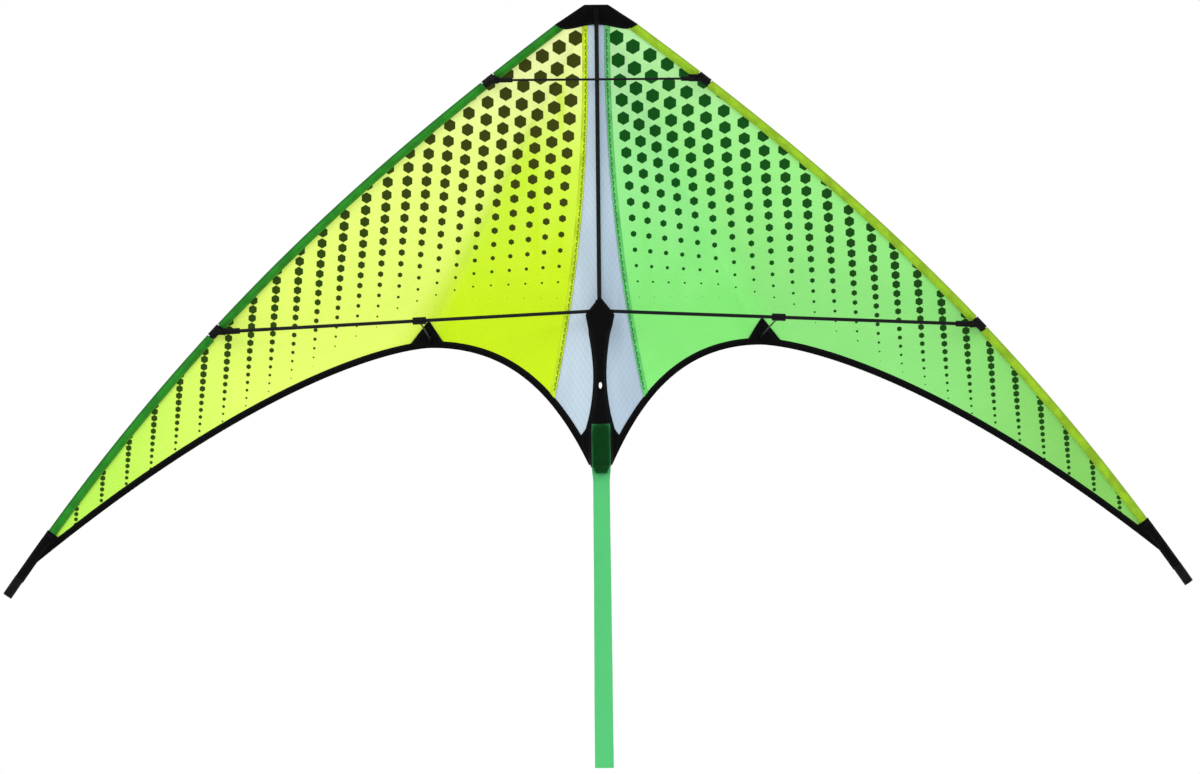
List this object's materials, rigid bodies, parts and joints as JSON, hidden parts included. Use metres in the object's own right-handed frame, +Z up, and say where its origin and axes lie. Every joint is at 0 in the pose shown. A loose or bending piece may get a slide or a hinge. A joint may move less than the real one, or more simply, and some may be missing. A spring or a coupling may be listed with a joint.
{
  "type": "delta stunt kite",
  "caption": "Swept delta stunt kite with a bowed frame, a two-colour ripstop sail with dotted print, black edging, a crossed spreader frame, standoffs and a ribbon tail.",
  "frame": {"origin": "centre of the centre fitting, on the axis of the spine", "axes": "+X along the right wing as the flyer sees it, +Y away from the flyer, +Z up the spine to the nose"},
  "size_m": [1.524, 0.1202, 0.972],
  "materials": {
    "sail_yellow": "ripstop sailcloth, light and slightly see-through",
    "sail_green": "ripstop sailcloth, light and slightly see-through",
    "centre_cloth": "ripstop sailcloth with a fine diagonal weave",
    "sleeve_dark_green": "coated tape",
    "sleeve_yellow_green": "coated tape",
    "ribbon_green": "thin shiny ribbon",
    "black_webbing": "woven webbing",
    "black_rod": "pultruded fibre rod with a slight gloss",
    "ferrule_metal": "drawn tube",
    "black_moulding": "moulded flexible plastic"
  },
  "bodies": {
    "spine": {"spine_rod": "black_rod", "spine_end_cap": "black_moulding", "nose_cap": "black_webbing", "centre_fitting": "black_moulding", "spine_reinforcement": "black_webbing", "tail_pocket": "black_webbing", "tail_tab": "black_webbing"},
    "wing_left": {"centre_panel_left": "centre_cloth", "sail_left": "sail_yellow", "leading_edge_sleeve_left": "sleeve_dark_green", "trailing_edge_binding_left": "black_webbing", "upper_leading_edge_rod_left": "black_rod", "lower_leading_edge_rod_left": "black_rod", "leading_edge_ferrule_left": "ferrule_metal", "tip_pocket_left": "black_webbing", "tip_cap_left": "black_moulding", "upper_collar_left": "black_moulding", "lower_collar_left": "black_moulding", "standoff_patch_left": "black_webbing"},
    "wing_right": {"centre_panel_right": "centre_cloth", "sail_right": "sail_green", "leading_edge_sleeve_right": "sleeve_yellow_green", "trailing_edge_binding_right": "black_webbing", "upper_leading_edge_rod_right": "black_rod", "lower_leading_edge_rod_right": "black_rod", "leading_edge_ferrule_right": "ferrule_metal", "tip_pocket_right": "black_webbing", "tip_cap_right": "black_moulding", "upper_collar_right": "black_moulding", "lower_collar_right": "black_moulding", "standoff_patch_right": "black_webbing"},
    "upper_spreader": {"upper_spreader_rod": "black_rod", "upper_socket_left": "black_moulding", "upper_end_sleeve_right": "black_moulding"},
    "lower_spreader_left": {"lower_spreader_rod_left": "black_rod", "lower_socket_left": "black_moulding", "standoff_connector_left": "black_moulding"},
    "lower_spreader_right": {"lower_spreader_rod_right": "black_rod", "lower_socket_right": "black_moulding", "standoff_connector_right": "black_moulding"},
    "standoff_left": {"standoff_rod_left": "black_rod", "standoff_cap_left": "black_moulding"},
    "standoff_right": {"standoff_rod_right": "black_rod", "standoff_cap_right": "black_moulding"},
    "tail": {"tail_ribbon": "ribbon_green"}
  },
  "joints": [
    {"name": "wing_fold_left", "type": "hinge", "parent": "spine", "child": "wing_left", "pos_m": [0, 0.00425, 0], "axis": [0, 0, -1], "range_deg": [0, 50], "deforming": ["nose_cap"]},
    {"name": "wing_fold_right", "type": "hinge", "parent": "spine", "child": "wing_right", "pos_m": [0, 0.00425, 0], "axis": [0, 0, 1], "range_deg": [0, 50]},
    {"name": "lower_spreader_swing_left", "type": "hinge", "parent": "wing_left", "child": "lower_spreader_left", "pos_m": [-0.47736, 0.02421, -0.02161], "axis": [0, -1, 0], "range_deg": [0, 36]},
    {"name": "lower_spreader_swing_right", "type": "hinge", "parent": "wing_right", "child": "lower_spreader_right", "pos_m": [0.47736, 0.02421, -0.02161], "axis": [0, 1, 0], "range_deg": [0, 36]},
    {"name": "upper_spreader_swing", "type": "hinge", "parent": "wing_left", "child": "upper_spreader", "pos_m": [-0.12793, -0.00515, 0.29459], "axis": [0, 1, 0], "range_deg": [0, 136]},
    {"name": "standoff_fold_left", "type": "hinge", "parent": "wing_left", "child": "standoff_left", "pos_m": [-0.212, 0.09854, -0.034], "axis": [1, 0, 0], "range_deg": [-38, 0]},
    {"name": "standoff_fold_right", "type": "hinge", "parent": "wing_right", "child": "standoff_right", "pos_m": [0.212, 0.09854, -0.034], "axis": [1, 0, 0], "range_deg": [-38, 0]},
    {"name": "tail_swing", "type": "hinge", "parent": "spine", "child": "tail", "pos_m": [0, -0.00605, -0.144], "axis": [-1, 0, 0], "range_deg": [0, 80]}
  ]
}
